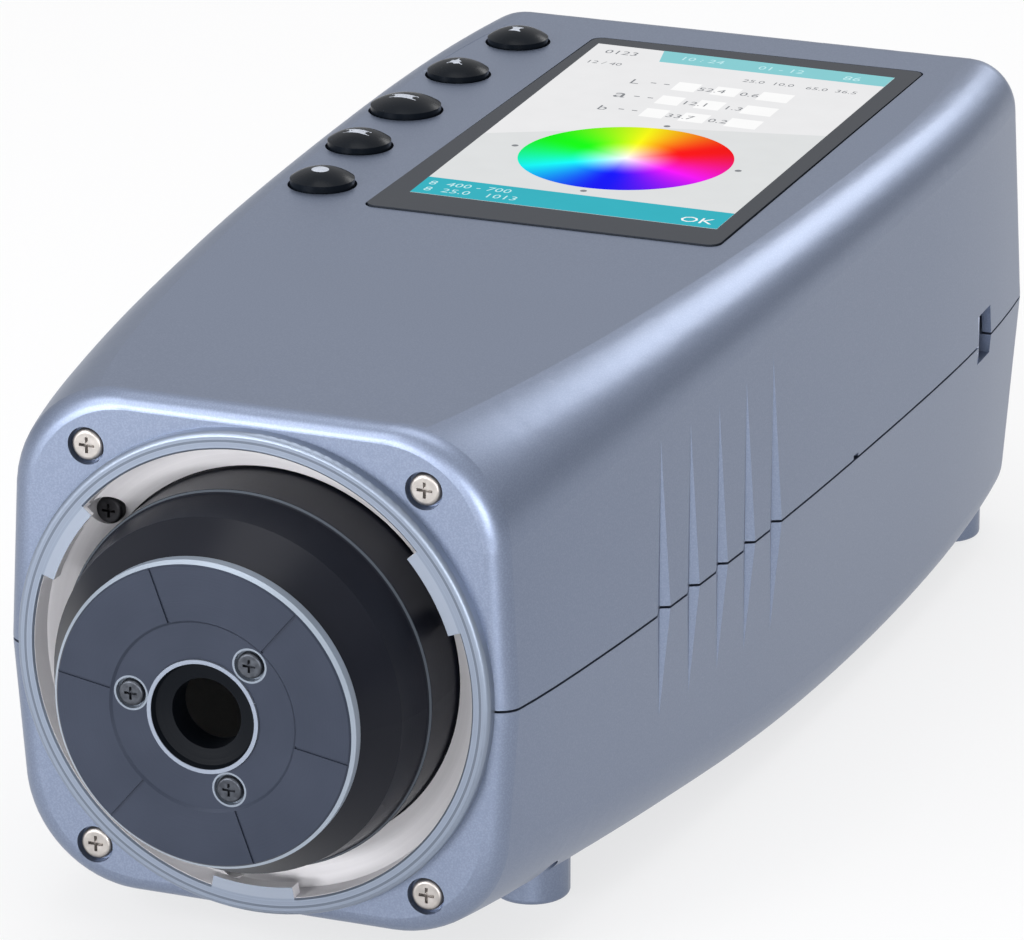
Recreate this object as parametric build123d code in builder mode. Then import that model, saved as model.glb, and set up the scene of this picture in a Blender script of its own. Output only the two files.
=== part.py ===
from build123d import *
import math
import os

# Frame: +Z up, the measuring head faces -Y, +X is the viewer's right seen from the front.
# The origin is on the surface that the feet stand on, under the middle of the whole length and width.
# Distances named b_... run back from the front face, heights named h_... run up from the seam.

# Overall body
body_length = 166.0
nose_reach = 14.6
seam_height = 33.0
half_width_front = 30.0
half_width_widest = 39.8
widening_length = 150.0
widening_power = 0.75
tuck_start = 132.0
rear_tuck = 2.0
deck_rise = 31.3
belly_drop_front = 28.5
belly_bulge = 3.5
belly_wave_length = 190.0
draft_upper = 3.0
draft_lower = 4.5
shoulder_radius_front = 13.8
shoulder_radius_rear = 6.5
chine_radius_front = 16.0
chine_radius_rear = 9.5
rim_radius = 2.0
rear_edge_radius = 6.0
smallest_corner = 1.0
body_stations = [5.0, 12.0, 24.0, 40.0, 60.0, 85.0, 110.0, 132.0, 148.0]
edge_steps = 6

# Shell walls and the tongue joint along the seam
wall = 2.2
front_wall = 3.0
rear_wall = 3.0
seam_gap = 0.3
tongue_rise = 2.0
tongue_outset = 1.5
tongue_clearance = 0.3
deck_recess = 0.35
deck_recess_margin = 0.6
deck_recess_outset = 4.0
seam_notch_place = 92.8
seam_notch_size = (1.6, 0.6)
seam_notch_depth = 0.9

# Clearances
moving_clearance = 0.3
fit_clearance = 0.05
part_gap = 0.2

# Measuring head, on the optical axis
optical_rise = 0.7
collar_flange_radius = 28.4
collar_flange_thickness = 1.7
collar_sleeve_radius = 27.3
collar_bore_radius = 26.3
collar_floor_start = 1.8
collar_floor_end = 4.6
collar_throat_radius = 22.5
collar_hole_gap = 0.3
collar_outer_edge = 0.6
collar_inner_edge = 0.25
lug_reach = 1.3
lug_root = 0.5
lug_thickness = 1.7
lug_angle_width = 22.0
lug_angle_first = 30.0
lug_count = 3
chassis_front = 6.2
chassis_thickness = 2.5
chassis_inset = 2.6
chassis_post_radius = 2.6
drum_radius = 22.2
drum_step = 0.4
drum_step_place = 3.2
drum_taper_radius = 20.8
drum_taper_place = 8.1
drum_nose_radius = 17.6
drum_wall = 1.9
drum_nose_wall = 1.6
drum_flange_radius = 23.2
drum_flange_thickness = 1.0
drum_boss_radius = 1.9
drum_boss_height = 0.9
disc_radius = 17.9
disc_thickness = 1.8
disc_chamfer = 0.6
disc_step_radius = 11.1
disc_step_depth = 0.25
disc_step_slope = 0.3
disc_groove_depth = 0.2
disc_groove_width = 0.3
disc_line_count = 6
disc_line_angle = 50.0
aperture_ring_radius = 6.6
aperture_lip = 0.45
aperture_radius = 4.1
aperture_tube_wall = 1.1
aperture_tube_end = 9.9
aperture_lip_depth = 0.7
aperture_lip_slope = 0.3
aperture_tube_start = 1.2

# Integrating sphere and its ports
sphere_inner_radius = 17.0
sphere_wall = 1.5
sphere_flange_radius = 20.1
sphere_flange_thickness = 1.5
sphere_rear_flange_radius = 24.0
sphere_port_radius = 5.5
detector_tilt = 8.0
detector_boss_radius = 6.5
detector_boss_reach = 20.5
detector_hole_radius = 3.0
detector_tube_radius = 6.5
detector_tube_bore = 4.0
detector_tube_length = 13.5
detector_flange_radius = 8.0
detector_flange_thickness = 1.5
lens_place = 6.0
lens_thickness = 2.2
sensor_board_size = (24.0, 18.0, 1.4)
sensor_chip_size = (5.0, 5.0, 1.2)
lamp_tilt = 50.0
lamp_boss_radius = 5.5
lamp_boss_reach = 21.0
lamp_hole_radius = 3.5
lamp_board_size = (13.0, 13.0, 1.4)
lamp_chip_size = (3.4, 3.4, 1.2)

# Screws: head radius, head height, shank radius, shank length
face_screw = (1.85, 1.3, 1.1, 6.0)
disc_screw = (1.5, 0.9, 0.75, 3.2)
collar_screw = (1.6, 1.2, 0.9, 3.4)
sphere_screw = (1.4, 1.0, 0.7, 2.2)
board_screw = (1.8, 1.1, 0.9, 4.0)
tray_screw = (2.0, 1.2, 1.0, 6.0)
housing_screw = (2.0, 1.6, 1.2, 14.0)
recess_radius_share = 0.5
recess_depth_share = 0.55
face_screw_spacing = (40.3, 47.7)
face_counterbore_radius = 2.2
face_counterbore_depth = 1.5
disc_screw_circle = 8.7
disc_screw_angle = 50.0
disc_counterbore_radius = 1.8
disc_counterbore_depth = 1.0
collar_screw_circle = 24.4
collar_screw_angle = 141.0
collar_pocket_radius = 1.9
sphere_screw_circle = 22.2
screw_hole_clearance = 0.15

# Display and keys on the deck
window_left = -17.8
window_right = 27.2
window_front = 74.0
window_rear = 152.6
window_thickness = 1.2
window_corner = 1.5
window_ledge = 1.6
module_margin = 1.4
module_thickness = 3.4
module_leg_radius = 1.5
module_leg_inset = 3.0
key_places = [(-25.8, 80.2), (-27.8, 96.6), (-28.3, 112.9), (-28.1, 130.0), (-26.5, 146.9)]
key_radius = 3.95
key_radius_middle = 4.45
key_dome_rise = 1.95
key_shoulder_rise = 0.65
key_flange_outset = 0.5
key_rest_gap = 1.0
key_flange_thickness = 1.0
key_stem_radius = 1.5
key_stem_length = 0.9
key_travel = 0.8
display_board_drop = 8.4
display_board_thickness = 1.2
display_board_left = -31.0
display_board_right = 29.0
display_board_front = 68.0
display_board_rear = 152.5
display_tab_left = -14.0
display_tab_right = 24.0
display_tab_rear = 158.3
display_post_places = [(-28.0, 71.0), (26.0, 71.0), (-10.0, 155.6), (20.0, 155.6)]
display_post_radius = 2.2
key_switch_size = 4.6
key_switch_height = 1.5
key_plunger_radius = 1.1

# Battery, its tray and its cover in the belly
cell_radius = 9.3
cell_spacing = 18.8
cell_length = 65.0
cell_centre_drop = 18.6
battery_front = 70.5
cover_half_width = 21.5
cover_front = 68.0
cover_rear = 138.0
cover_corner = 3.0
cover_ledge = 1.5
cover_gap = 0.3
cover_rib_width = 2.0
cover_rib_margin = 6.0
cover_grip_radius = 9.0
cover_grip_depth = 0.6
cover_travel = 12.0
tray_wall = 1.4
tray_half_width = 21.0
tray_front = 66.2
tray_rear = 139.8
tray_skirt_bottom = 25.5
tray_ear_places = [(26.0, 76.0), (26.0, 130.0)]
tray_ear_radius = 3.4
tray_post_radius = 2.6
board_post_places = [(18.0, 72.6), (18.0, 133.6)]
board_post_radius = 2.2
board_post_height = 4.9
main_board_half_width = 28.0
main_board_front = 68.5
main_board_rear = 137.7
main_board_thickness = 1.4

# Rear sockets and the power switch
panel_half_width = 26.5
panel_top = 4.0
panel_bottom = 20.0
panel_thickness = 1.6
panel_window_margin = 2.5
panel_window_corner = 2.0
io_board_drop = 17.0
io_board_thickness = 1.4
io_board_half_width = 27.3
io_board_front = 145.0
io_board_end_gap = 0.4
io_post_places = [(23.5, 149.5)]
io_post_radius = 2.6
usb_x = -16.0
usb_width = 7.7
usb_height = 3.9
usb_length = 8.5
usb_shell = 0.35
usb_back_wall = 1.0
usb_tongue_inset = 1.6
usb_tongue_set_back = 1.0
usb_tongue_low = 1.7
usb_tongue_thickness = 0.6
jack_x = 0.0
jack_width = 9.0
jack_height = 9.4
jack_axis_height = 5.2
jack_length = 11.0
jack_barrel_radius = 3.3
jack_bore_radius = 2.75
jack_pin_radius = 0.9
jack_bore_depth = 9.0
switch_x = 16.0
switch_width = 11.0
switch_height = 6.0
switch_length = 6.0
slider_width = 3.2
slider_height = 3.0
slider_travel = 4.0
slider_reach = 1.8
slider_root = 1.6
slider_ridge = 0.45

# Parts on the boards
ribbon_width = 12.0
ribbon_thickness = 0.4
ribbon_plug_height = 1.6
ribbon_plug_depth = 3.5
ribbon_plug_margin = 1.0
ribbon_place = 130.0
board_chip_layout = [
    ((-16.0, -4.0), (82.0, 94.0), 1.4),
    ((2.0, 10.0), (84.0, 91.0), 1.2),
    ((6.0, 18.0), (104.0, 112.0), 2.2),
]

# Measure button on the left side and its switch
button_place = 92.0
button_rise = 9.0
button_length = 22.0
button_height = 9.0
button_proud = 1.1
button_edge = 0.8
button_flange_outset = 1.0
button_flange_thickness = 1.2
button_flange_set_back = 1.2
button_travel = 1.0
micro_switch_size = (5.8, 12.8, 6.5)
micro_plunger_radius = 1.2
micro_plunger_length = 1.0
switch_board_size = (1.2, 24.0)
switch_board_margin = 1.0
button_cut_reach = 3.0

# Grip grooves on both sides, the strap bar and the feet
groove_places = [36.7, 44.6, 52.5, 60.3, 68.2]
groove_depth = 1.05
groove_ramp = 2.9
groove_step = 0.6
groove_reach = 26.0
strap_place = 141.7
strap_pocket_length = 5.6
strap_pocket_height = 6.4
strap_pocket_depth = 5.0
strap_bar_radius = 1.1
strap_bar_bury = 1.8
strap_bar_setback = 0.9
foot_radius = 4.5
foot_places = [(22.2, 27.0), (29.7, 158.2)]
foot_socket_floor = 27.9
foot_socket_gap = 0.05
foot_edge = 0.6
housing_post_places = [(27.0, 17.0), (34.4, 150.6)]
housing_post_radius = 3.0
housing_screw_seat_drop = 8.0

# Worked-out places
face_y = (nose_reach - body_length) / 2
optical_height = seam_height + optical_rise


def y_at(b):
    return face_y + b


def z_at(h):
    return seam_height + h


def growth(b):
    """How far the body has widened at b, from 0 at the face to 1 where it is widest."""
    return math.sin(math.pi / 2 * min(1.0, max(b, 0.0) / widening_length) ** widening_power)


def half_width(b):
    tuck = rear_tuck * (max(b - tuck_start, 0) / (body_length - tuck_start)) ** 2
    return half_width_front + (half_width_widest - half_width_front) * growth(b) - tuck


def shoulder_radius(b):
    return shoulder_radius_rear + (shoulder_radius_front - shoulder_radius_rear) * (1 - growth(b))


def belly_drop(b):
    return belly_drop_front + belly_bulge * math.sin(math.pi * b / belly_wave_length) ** 2


def section_plane(b):
    """A plane across the body at b, seen from the front, with its origin on the seam."""
    return Plane(origin=(0, y_at(b), seam_height), x_dir=(1, 0, 0), z_dir=(0, -1, 0))


def head_plane(b):
    """A plane across the optical axis at b, seen from the front."""
    return Plane(origin=(0, y_at(b), optical_height), x_dir=(1, 0, 0), z_dir=(0, -1, 0))


def port_plane(tilt):
    """A plane through the sphere's centre whose normal leans back and up by tilt degrees."""
    lean = math.radians(tilt)
    return Plane(origin=sphere_centre, x_dir=(1, 0, 0), z_dir=(0, math.cos(lean), math.sin(lean)))


def body_section(b, inset):
    """The body's outline at b, moved inwards by inset: drafted sides, round shoulders and chines."""
    side = half_width(b) - inset
    top = deck_rise - inset
    bottom = belly_drop(b) - inset
    top_side = side - top * math.tan(math.radians(draft_upper))
    bottom_side = side - bottom * math.tan(math.radians(draft_lower))
    chine = chine_radius_rear + (chine_radius_front - chine_radius_rear) * (1 - growth(b)) ** 2
    with BuildSketch(section_plane(b)) as outline:
        with BuildLine():
            Polyline(
                (side, 0), (top_side, top), (-top_side, top), (-side, 0),
                (-bottom_side, -bottom), (bottom_side, -bottom), close=True,
            )
        make_face()
        corners = outline.vertices().group_by(Axis.Z)
        fillet(corners[-1], max(shoulder_radius(b) - inset, smallest_corner))
        fillet(corners[0], max(chine - inset, smallest_corner))
    return outline.sketch


def body_loft(inset, first, last):
    """The body's form moved inwards by inset, between the planes first and last."""
    with BuildPart() as form:
        for b in [first, *body_stations, last]:
            add(body_section(b, inset))
        loft()
    return form.part


def rounded_end(outer_b, radius, inwards):
    """One end of the body, from its flat face at outer_b inwards, with a rounded edge all round."""
    with BuildPart() as cap:
        for step in range(edge_steps + 1):
            turn = math.pi / 2 * step / edge_steps
            b = outer_b + inwards * radius * (1 - math.cos(turn))
            add(body_section(b, radius * (1 - math.sin(turn))))
        loft()
    return cap.part


def head_ring(profile):
    """A turned piece: profile is a list of (radius, b) points, spun about the optical axis."""
    with BuildPart() as turned:
        with BuildSketch(Plane.XY.offset(optical_height)):
            with BuildLine():
                Polyline(*[(r, y_at(b)) for r, b in profile], close=True)
            make_face()
        revolve(axis=Axis((0, 0, optical_height), (0, 1, 0)))
    return turned.part


def screw(size):
    """A pan-head screw standing on its seat at the origin, shank down -Z, with a cross recess."""
    head_radius, head_height, shank_radius, shank_length = size
    arm = head_radius * recess_radius_share
    with BuildPart() as made:
        with BuildSketch():
            Circle(head_radius)
        extrude(amount=head_height)
        fillet(made.faces().sort_by(Axis.Z)[-1].edges(), head_height * 0.35)
        with BuildSketch():
            Circle(shank_radius)
        extrude(amount=-shank_length)
        with BuildSketch(Plane.XY.offset(head_height)):
            Rectangle(2 * arm, arm * 0.4)
            Rectangle(arm * 0.4, 2 * arm)
        extrude(amount=-head_height * recess_depth_share, mode=Mode.SUBTRACT)
    return made.part


def screw_group(label, size, planes):
    """Like screws in one node: a separate solid at each plane, head along the plane's normal."""
    with BuildPart() as group:
        with Locations(*planes):
            add(screw(size))
    finish(group.part, label)


def finish(piece, label):
    piece.label = label
    export_step(piece, f"parts/{label}.step")


def post(places, radius, low, high):
    """Round posts between the heights low and high above the seam."""
    with BuildPart() as posts:
        with BuildSketch(Plane.XY.offset(z_at(low))):
            with Locations(*[(x, y_at(b)) for x, b in places]):
                Circle(radius)
        extrude(amount=high - low)
    return posts.part


def both_sides(places):
    return [(side * x, b) for x, b in places for side in (1, -1)]


def block(x, b, h):
    """A plain block between the ends of x, b and h."""
    with BuildPart() as made:
        with BuildSketch(Plane.XY.offset(z_at(h[0]))):
            with Locations(((x[0] + x[1]) / 2, y_at((b[0] + b[1]) / 2))):
                Rectangle(x[1] - x[0], b[1] - b[0])
        extrude(amount=h[1] - h[0])
    return made.part


os.makedirs("parts", exist_ok=True)

# Body form and its inner skins, shared by both housings and the battery cover
cavity_rear = body_length - rear_wall
with BuildPart() as body_form:
    add(body_loft(0, rim_radius, body_length - rear_edge_radius))
    add(rounded_end(0, rim_radius, 1))
    add(rounded_end(body_length, rear_edge_radius, -1))
cavity = body_loft(wall, front_wall, cavity_rear)
tongue_form = body_loft(tongue_outset, front_wall, cavity_rear + wall - tongue_outset)
room_outset = tongue_outset - tongue_clearance
tongue_room = body_loft(room_outset, front_wall, cavity_rear + wall - room_outset)


def half_space(low, high):
    """A slab wider and longer than the body between two heights."""
    return block((-body_length, body_length), (-body_length, 2 * body_length), (low, high))


above_seam = half_space(seam_gap / 2, body_length)
below_seam = half_space(-body_length, -seam_gap / 2)

# Heights that several pieces share
deck_inside = deck_rise - wall
board_top = deck_rise - display_board_drop
tray_roof_under = -(cell_centre_drop - cell_radius)
tray_roof_top = tray_roof_under + tray_wall
main_board_under = tray_roof_top + board_post_height
main_board_top = main_board_under + main_board_thickness
io_board_top = -io_board_drop + io_board_thickness
foot_bottom = -seam_height
cell_half_pack = cell_spacing / 2
sphere_middle = chassis_front + chassis_thickness / 2
sphere_outer_radius = sphere_inner_radius + sphere_wall
sphere_centre = (0, y_at(sphere_middle), optical_height)
disc_back = disc_thickness - nose_reach
chassis_back = chassis_front + chassis_thickness

# Where the measure button sits on the drafted left side
button_wall_x = half_width(button_place) - button_rise * math.tan(math.radians(draft_upper))
button_flange_x = button_wall_x - wall - button_flange_set_back
button_back_x = button_flange_x - button_flange_thickness
plunger_tip_x = button_back_x - button_travel - moving_clearance


def grip_groove_cuts():
    """Upright saw-tooth notches: a long ramp in, then a short step out that faces forward."""
    with BuildPart() as cuts:
        with BuildSketch(Plane.XY.offset(z_at(-groove_reach))):
            for b in groove_places:
                for side in (1, -1):
                    start = (side * (half_width(b - groove_ramp) + 0.01), y_at(b - groove_ramp))
                    root = (side * (half_width(b) - groove_depth), y_at(b))
                    end = (side * (half_width(b + groove_step) + 0.01), y_at(b + groove_step))
                    with BuildLine():
                        Polyline(start, root, end, close=True)
                    make_face()
        extrude(amount=2 * groove_reach)
    return cuts.part


def strap_pocket():
    """The pocket in the right side, across the seam, that the strap's loop passes through."""
    outer = half_width(strap_place) + 1
    floor = half_width(strap_place) - strap_pocket_depth
    return block(
        (floor, outer),
        (strap_place - strap_pocket_length / 2, strap_place + strap_pocket_length / 2),
        (optical_rise - strap_pocket_height / 2, optical_rise + strap_pocket_height / 2),
    )


def strap_walls():
    """The pocket's own walls inside the housing."""
    return block(
        (half_width(strap_place) - strap_pocket_depth - wall, half_width(strap_place) - 1),
        (strap_place - strap_pocket_length / 2 - wall, strap_place + strap_pocket_length / 2 + wall),
        (optical_rise - strap_pocket_height / 2 - wall, optical_rise + strap_pocket_height / 2 + wall),
    )


def button_outline(plane, outset):
    """The measure button's rounded outline, grown by outset, on a plane across X."""
    with BuildSketch(plane) as outline:
        SlotOverall(button_length + 2 * outset, button_height + 2 * outset)
    return outline.sketch


def button_plane(x):
    return Plane(origin=(-x, y_at(button_place), z_at(button_rise)), x_dir=(0, 1, 0), z_dir=(-1, 0, 0))


face_screw_places = [
    (sx * face_screw_spacing[0] / 2, sz * face_screw_spacing[1] / 2) for sx in (1, -1) for sz in (1, -1)
]


def front_wall_cuts():
    """The collar's hole and the counterbored holes for the four face screws."""
    with BuildPart() as cuts:
        with BuildSketch(head_plane(-1)):
            Circle(collar_sleeve_radius + collar_hole_gap)
        extrude(amount=-(chassis_front + 1))
        with BuildSketch(head_plane(-1)):
            with Locations(*face_screw_places):
                Circle(face_counterbore_radius)
        extrude(amount=-(1 + face_counterbore_depth))
        with BuildSketch(head_plane(-1)):
            with Locations(*face_screw_places):
                Circle(face_screw[2] + screw_hole_clearance)
        extrude(amount=-(front_wall + 2))
    return cuts.part


window_middle = (window_left + window_right) / 2
window_centre_b = (window_front + window_rear) / 2
window_width = window_right - window_left
window_length = window_rear - window_front


def window_prism(outset, low, high):
    """A rounded block with the display window's outline, grown by outset."""
    with BuildPart() as prism:
        with BuildSketch(Plane.XY.offset(z_at(low))):
            with Locations((window_middle, y_at(window_centre_b))):
                RectangleRounded(window_width + 2 * outset, window_length + 2 * outset, window_corner)
        extrude(amount=high - low)
    return prism.part


def deck_edge(b):
    """Half the width of the flat deck at b, inside the round shoulders."""
    side = half_width(b) - deck_rise * math.tan(math.radians(draft_upper))
    return side - shoulder_radius(b) * math.tan(math.radians((90 - draft_upper) / 2))


def deck_recess_cut():
    """The shallow step that leaves the front rim proud. It runs out in the shoulders and to the rear."""
    front = rim_radius + deck_recess_margin
    rear = body_length - rear_edge_radius - deck_recess_margin
    stations = [front, 10, 20, 35, 55, 80, 110, 140, rear]
    tilt = math.degrees(math.atan2(deck_recess, rear - front))
    level = Plane(origin=(0, y_at(rear), z_at(deck_rise)), x_dir=(1, 0, 0), z_dir=(0, 0, 1))
    floor = level.rotated((tilt, 0, 0))
    reach = deck_recess_outset + deck_recess_margin
    outsets = [reach * ((rear - b) / (rear - front)) ** 0.7 - deck_recess_margin for b in stations]
    right = [(deck_edge(b) + outset, b - rear) for b, outset in zip(stations, outsets)]
    left = [(-x, b) for x, b in reversed(right)]
    with BuildPart() as cut:
        with BuildSketch(floor):
            with BuildLine():
                Spline(*right)
                Polyline(right[-1], left[0])
                Spline(*left)
                Polyline(left[-1], right[0])
            make_face()
        extrude(amount=3 * deck_recess)
    return cut.part


# Upper housing: the painted top shell with the deck, key holes, display window and inside posts
key_radii = [key_radius, key_radius, key_radius_middle, key_radius, key_radius]
post_skin = body_loft(wall / 2, front_wall, cavity_rear)
with BuildPart() as upper_posts:
    add(post(both_sides(housing_post_places), housing_post_radius, seam_gap, deck_rise))
    add(post(display_post_places, display_post_radius, board_top, deck_rise))
    add(post_skin, mode=Mode.INTERSECT)
with BuildPart() as tongue_shell:
    add(tongue_room)
    add(half_space(-1, tongue_rise + tongue_clearance), mode=Mode.INTERSECT)
    add(body_loft(wall + tongue_clearance, front_wall - 1, cavity_rear - tongue_clearance),
        mode=Mode.SUBTRACT)
with BuildPart() as upper_housing:
    add(body_form.part)
    add(above_seam, mode=Mode.INTERSECT)
    add(cavity, mode=Mode.SUBTRACT)
    add(strap_walls() & above_seam)
    add(tongue_shell.part, mode=Mode.SUBTRACT)
    add(upper_posts.part)
    add(front_wall_cuts(), mode=Mode.SUBTRACT)
    add(grip_groove_cuts(), mode=Mode.SUBTRACT)
    add(strap_pocket(), mode=Mode.SUBTRACT)
    add(deck_recess_cut(), mode=Mode.SUBTRACT)
    add(window_prism(part_gap, deck_rise - window_thickness, deck_rise + 1), mode=Mode.SUBTRACT)
    add(window_prism(-window_ledge, deck_inside - 1, deck_rise), mode=Mode.SUBTRACT)
    with BuildSketch(Plane.XY.offset(z_at(deck_inside - 1))):
        for place, radius in zip(key_places, key_radii):
            with Locations((place[0], y_at(place[1]))):
                Circle(radius + moving_clearance)
    extrude(amount=wall + 2, mode=Mode.SUBTRACT)
    add(post(display_post_places, board_screw[2] + fit_clearance, board_top - 1, deck_inside),
        mode=Mode.SUBTRACT)
    add(post(both_sides(housing_post_places), housing_screw[2] + fit_clearance, -1, housing_screw[3]),
        mode=Mode.SUBTRACT)
    notch_wall_x = half_width(seam_notch_place)
    add(block((notch_wall_x - seam_notch_depth, notch_wall_x + 1),
              (seam_notch_place - seam_notch_size[0] / 2, seam_notch_place + seam_notch_size[0] / 2),
              (0, seam_notch_size[1])), mode=Mode.SUBTRACT)
    extrude(button_outline(button_plane(button_wall_x + button_cut_reach), moving_clearance),
            amount=-(wall + 2 * button_cut_reach), mode=Mode.SUBTRACT)
    strap_bar_x = half_width(strap_place) - strap_bar_radius - strap_bar_setback
    strap_bar_low = optical_rise - strap_pocket_height / 2 - strap_bar_bury
    strap_bar_high = optical_rise + strap_pocket_height / 2 + strap_bar_bury
    add(post([(strap_bar_x, strap_place)], strap_bar_radius + fit_clearance, strap_bar_low, strap_bar_high),
        mode=Mode.SUBTRACT)
finish(upper_housing.part, "upper_housing")

# Lower housing: the painted bottom shell with the seam's tongue, foot sockets and battery opening
def cover_prism(inset, low, high):
    """A rounded block with the battery opening's outline, moved inwards by inset."""
    with BuildPart() as prism:
        with BuildSketch(Plane.XY.offset(z_at(low))):
            with Locations((0, y_at((cover_front + cover_rear) / 2))):
                RectangleRounded(
                    2 * (cover_half_width - inset), cover_rear - cover_front - 2 * inset, cover_corner,
                )
        extrude(amount=high - low)
    return prism.part


belly_low = -(belly_drop_front + belly_bulge) - 1
foot_spots = both_sides(foot_places)
with BuildPart() as lower_posts:
    add(post(both_sides(housing_post_places), housing_post_radius, belly_low, -seam_gap))
    add(post(both_sides(tray_ear_places), tray_post_radius, belly_low, tray_roof_under))
    add(post(both_sides(io_post_places), io_post_radius, belly_low, -io_board_drop))
    add(post_skin, mode=Mode.INTERSECT)
with BuildPart() as seam_tongue:
    add(tongue_form)
    add(cavity, mode=Mode.SUBTRACT)
    add(half_space(-2 * seam_gap, tongue_rise), mode=Mode.INTERSECT)
with BuildPart() as lower_housing:
    add(body_form.part)
    add(below_seam, mode=Mode.INTERSECT)
    add(cavity, mode=Mode.SUBTRACT)
    add(seam_tongue.part)
    add(lower_posts.part)
    add(strap_walls() & below_seam)
    add(front_wall_cuts(), mode=Mode.SUBTRACT)
    add(grip_groove_cuts(), mode=Mode.SUBTRACT)
    add(strap_pocket(), mode=Mode.SUBTRACT)
    add(post([(strap_bar_x, strap_place)], strap_bar_radius + fit_clearance, strap_bar_low, strap_bar_high),
        mode=Mode.SUBTRACT)
    add(cover_prism(0, belly_low - 1, -belly_drop_front + 4) - tongue_form, mode=Mode.SUBTRACT)
    add(cover_prism(cover_ledge, belly_low - 1, -belly_drop_front + 4), mode=Mode.SUBTRACT)
    add(post(foot_spots, foot_radius + foot_socket_gap, belly_low - 1, -foot_socket_floor),
        mode=Mode.SUBTRACT)
    add(post(both_sides(housing_post_places), housing_screw[0] + screw_hole_clearance, belly_low - 1,
             -housing_screw_seat_drop), mode=Mode.SUBTRACT)
    add(post(both_sides(housing_post_places), housing_screw[2] + screw_hole_clearance, belly_low - 1, 1),
        mode=Mode.SUBTRACT)
    add(post(both_sides(tray_ear_places), tray_screw[2] + fit_clearance,
             tray_roof_under - tray_screw[3], tray_roof_under + 1), mode=Mode.SUBTRACT)
    add(post(both_sides(io_post_places), board_screw[2] + fit_clearance,
             -io_board_drop - board_screw[3], -io_board_drop + 1), mode=Mode.SUBTRACT)
    add(block((-panel_half_width + panel_window_margin, panel_half_width - panel_window_margin),
              (cavity_rear - 1, body_length + 1),
              (-panel_bottom + panel_window_margin, -panel_top - panel_window_margin)), mode=Mode.SUBTRACT)
finish(lower_housing.part, "lower_housing")

# Feet: four turned studs in shallow sockets in the belly
with BuildPart() as feet:
    add(post(foot_spots, foot_radius, foot_bottom, -foot_socket_floor))
    fillet(feet.faces().filter_by(Axis.Z).group_by(Axis.Z)[0].edges(), foot_edge)
finish(feet.part, "feet")

# Strap bar: a steel pin standing across the strap pocket
with BuildPart() as strap_bar:
    add(post([(strap_bar_x, strap_place)], strap_bar_radius, strap_bar_low, strap_bar_high))
finish(strap_bar.part, "strap_bar")

# Bayonet collar: turned ring proud of the face, with three inward lugs and a sloping floor
collar_screw_angles = [collar_screw_angle + 120 * k for k in range(3)]
recess_depth_b = chassis_front - drum_flange_thickness
with BuildPart() as bayonet_collar:
    add(head_ring([
        (collar_bore_radius, -collar_flange_thickness), (collar_flange_radius, -collar_flange_thickness),
        (collar_flange_radius, 0), (collar_sleeve_radius, 0), (collar_sleeve_radius, chassis_front),
        (drum_flange_radius + part_gap, chassis_front), (drum_flange_radius + part_gap, recess_depth_b),
        (collar_throat_radius, recess_depth_b), (collar_throat_radius, collar_floor_end),
        (collar_bore_radius, collar_floor_start),
    ]))
    outer_rim = bayonet_collar.edges().filter_by(GeomType.CIRCLE).group_by(Axis.Y)[0].sort_by(SortBy.RADIUS)
    fillet(outer_rim[-1], collar_outer_edge)
    chamfer(outer_rim[0], collar_inner_edge)
    with BuildSketch(head_plane(-collar_flange_thickness)):
        for lug in range(lug_count):
            start = lug_angle_first + 360 / lug_count * lug - lug_angle_width / 2
            with BuildLine():
                inner = CenterArc((0, 0), collar_bore_radius - lug_reach, start, lug_angle_width)
                outer = CenterArc((0, 0), collar_bore_radius + lug_root, start, lug_angle_width)
                Line(inner @ 0, outer @ 0)
                Line(inner @ 1, outer @ 1)
            make_face()
    extrude(amount=-lug_thickness)
    collar_pocket_floor = collar_floor_end - 0.4
    with BuildSketch(head_plane(-1)):
        with PolarLocations(collar_screw_circle, 3, start_angle=collar_screw_angle):
            Circle(collar_pocket_radius)
    extrude(amount=-(collar_pocket_floor + 1), mode=Mode.SUBTRACT)
    with BuildSketch(head_plane(-1)):
        with PolarLocations(collar_screw_circle, 3, start_angle=collar_screw_angle):
            Circle(collar_screw[2] + screw_hole_clearance)
    extrude(amount=-(chassis_front + 2), mode=Mode.SUBTRACT)
finish(bayonet_collar.part, "bayonet_collar")


def head_spots(radius, first, count=3):
    """Places on a circle about the optical axis, as (x, z) from the axis."""
    angles = [math.radians(first + 360 / count * k) for k in range(count)]
    return [(radius * math.cos(a), radius * math.sin(a)) for a in angles]


def head_screw_planes(spots, b, forward=True):
    """Planes for screws along the optical axis, heads to the front or to the rear."""
    sign = -1 if forward else 1
    return [
        Plane(origin=(x, y_at(b), optical_height + z), x_dir=(1, 0, 0), z_dir=(0, sign, 0)) for x, z in spots
    ]


screw_group("face_screws", face_screw, head_screw_planes(face_screw_places, face_counterbore_depth))
screw_group("collar_screws", collar_screw,
            head_screw_planes(head_spots(collar_screw_circle, collar_screw_angle), collar_pocket_floor))

# Chassis plate: the cast plate behind the front wall that carries the whole measuring head
with BuildPart() as chassis_plate:
    extrude(body_section(chassis_front, chassis_inset), amount=chassis_thickness, dir=(0, 1, 0))
    with BuildSketch(head_plane(front_wall)):
        with Locations(*face_screw_places):
            Circle(chassis_post_radius)
    extrude(amount=-(chassis_front - front_wall))
    with BuildSketch(head_plane(front_wall)):
        Circle(sphere_outer_radius + part_gap)
        with Locations(*face_screw_places):
            Circle(face_screw[2] + fit_clearance)
        with Locations(*head_spots(collar_screw_circle, collar_screw_angle)):
            Circle(collar_screw[2] + fit_clearance)
        with Locations(*head_spots(sphere_screw_circle, 90)):
            Circle(sphere_screw[2] + fit_clearance)
    extrude(amount=-(chassis_back - front_wall + 1), mode=Mode.SUBTRACT)
finish(chassis_plate.part, "chassis_plate")

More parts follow.
